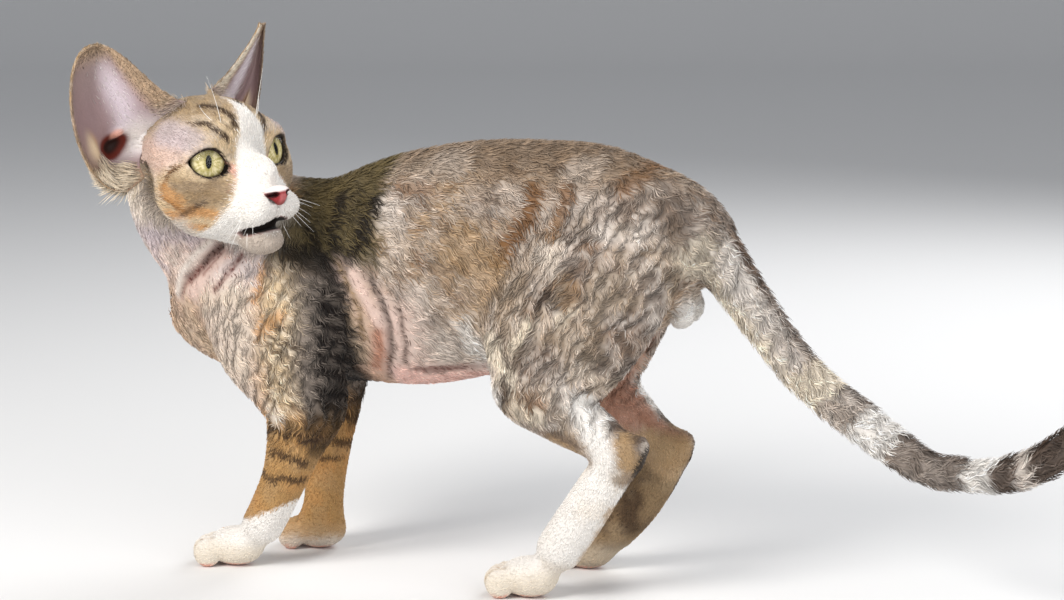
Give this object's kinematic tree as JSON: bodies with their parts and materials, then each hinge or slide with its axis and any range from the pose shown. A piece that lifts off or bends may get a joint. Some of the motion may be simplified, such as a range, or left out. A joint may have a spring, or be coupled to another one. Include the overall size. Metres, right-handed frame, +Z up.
{
  "type": "devon rex cat",
  "caption": "Still life-size devon rex cat, standing and looking back over its left shoulder, with large cupped ears and a long curved tail.",
  "frame": {"origin": "on the floor under the middle of the bounding box", "axes": "+X from the chest to the tail, +Y to the cat's right side, +Z up"},
  "size_m": [0.555, 0.1604, 0.3102],
  "materials": {
    "coat_head": "short soft wavy coat, tan with dark stripes and a white blaze",
    "coat_body": "short soft wavy coat, grey beige with brown patches",
    "coat_leg": "short wavy coat, grey and tan with dark bands",
    "coat_light": "short white coat",
    "coat_tail": "wavy coat with light and dark rings",
    "ear_skin": "thin ear leather with fine down",
    "eye": "clear cornea over a yellow green iris",
    "nose_leather": "damp pink nose leather"
  },
  "bodies": {
    "root": {"head": "coat_head", "ear_left": "ear_skin", "eye_left": "eye", "ear_right": "ear_skin", "eye_right": "eye", "nose": "nose_leather", "paw_fore_left": "coat_light", "foreleg_left": "coat_leg", "paw_fore_right": "coat_light", "foreleg_right": "coat_leg", "paw_hind_left": "coat_light", "foot_hind_left": "coat_light", "shank_hind_left": "coat_leg", "thigh_left": "coat_leg", "paw_hind_right": "coat_light", "foot_hind_right": "coat_light", "shank_hind_right": "coat_leg", "thigh_right": "coat_leg", "tail_tip": "coat_tail", "tail_end": "coat_tail", "tail_middle": "coat_tail", "tail_base": "coat_tail", "scrotum": "coat_light", "neck": "coat_body", "torso": "coat_body"}
  },
  "joints": []
}
